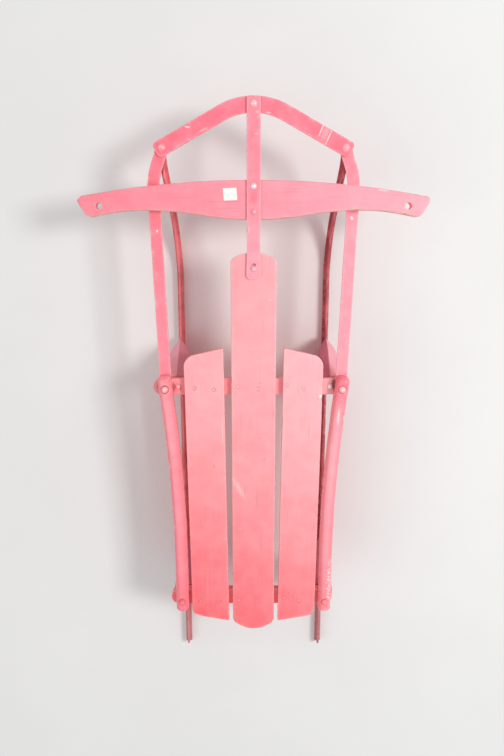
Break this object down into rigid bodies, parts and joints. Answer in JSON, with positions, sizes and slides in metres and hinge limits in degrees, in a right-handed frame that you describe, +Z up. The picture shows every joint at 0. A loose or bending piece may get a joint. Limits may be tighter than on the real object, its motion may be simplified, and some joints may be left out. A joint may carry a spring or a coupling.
{
  "type": "runner sled",
  "caption": "Low wooden sled on two steel runners, with a slatted deck, side rails, pressed steel knees and a hand and foot steering bar that bends the runners.",
  "frame": {"origin": "on the ground, under the middle of the sled's length and width", "axes": "+Y to the front, +Z up, +X to the right hand of someone who looks from above with the front away from them"},
  "size_m": [0.5624, 1.059, 0.1702],
  "materials": {
    "deck_wood": "worn paint",
    "rail_wood": "worn gloss paint",
    "handle_wood": "worn paint",
    "strap_steel": "worn paint",
    "knee_steel": "dull paint",
    "runner_steel": "rusted paint",
    "fastener_steel": "worn zinc and paint"
  },
  "bodies": {
    "root": {"centre_board": "deck_wood", "left_board": "deck_wood", "right_board": "deck_wood", "front_bench": "deck_wood", "rear_bench": "deck_wood", "left_rail": "rail_wood", "right_rail": "rail_wood", "left_front_knee": "knee_steel", "right_front_knee": "knee_steel", "left_rear_knee": "knee_steel", "right_rear_knee": "knee_steel", "left_runner": "runner_steel", "right_runner": "runner_steel", "left_front_rail_bolt": "fastener_steel", "right_front_rail_bolt": "fastener_steel", "left_rear_rail_bolt": "fastener_steel", "right_rear_rail_bolt": "fastener_steel", "deck_bolt": "fastener_steel"},
    "steering": {"steering_strap": "strap_steel", "steering_handle": "handle_wood", "front_handle_bolt": "fastener_steel", "rear_handle_bolt": "fastener_steel", "apex_bolt": "fastener_steel"},
    "bumper": {"bumper": "strap_steel"},
    "left_horn": {"left_side_bar": "strap_steel", "left_tip_rivet": "fastener_steel"},
    "right_horn": {"right_side_bar": "strap_steel", "right_tip_rivet": "fastener_steel"}
  },
  "joints": [
    {"name": "steering", "type": "hinge", "parent": "root", "child": "steering", "pos_m": [0, 0.2642, 0.15], "axis": [0, 0, 1], "range_deg": [-6, 6], "stiffness_Nm_per_rad": 120, "deforming": ["left_runner", "right_runner"]},
    {"name": "bumper_pivot", "type": "hinge", "parent": "steering", "child": "bumper", "pos_m": [0, 0.517, 0.145], "axis": [0, 0, 1], "range_deg": [-7, 7]},
    {"name": "left_bar_pivot", "type": "hinge", "parent": "root", "child": "left_horn", "pos_m": [-0.15057, 0.0625, 0.141], "axis": [0, 0, 1], "range_deg": [-4.5, 4.5]},
    {"name": "right_bar_pivot", "type": "hinge", "parent": "root", "child": "right_horn", "pos_m": [0.15057, 0.0625, 0.141], "axis": [0, 0, 1], "range_deg": [-4.5, 4.5]}
  ],
  "couplings": [
    {"joint": "bumper_pivot", "follows": "steering", "ratio": -1.0204},
    {"joint": "left_bar_pivot", "follows": "steering", "ratio": 0.652},
    {"joint": "right_bar_pivot", "follows": "steering", "ratio": 0.652}
  ]
}
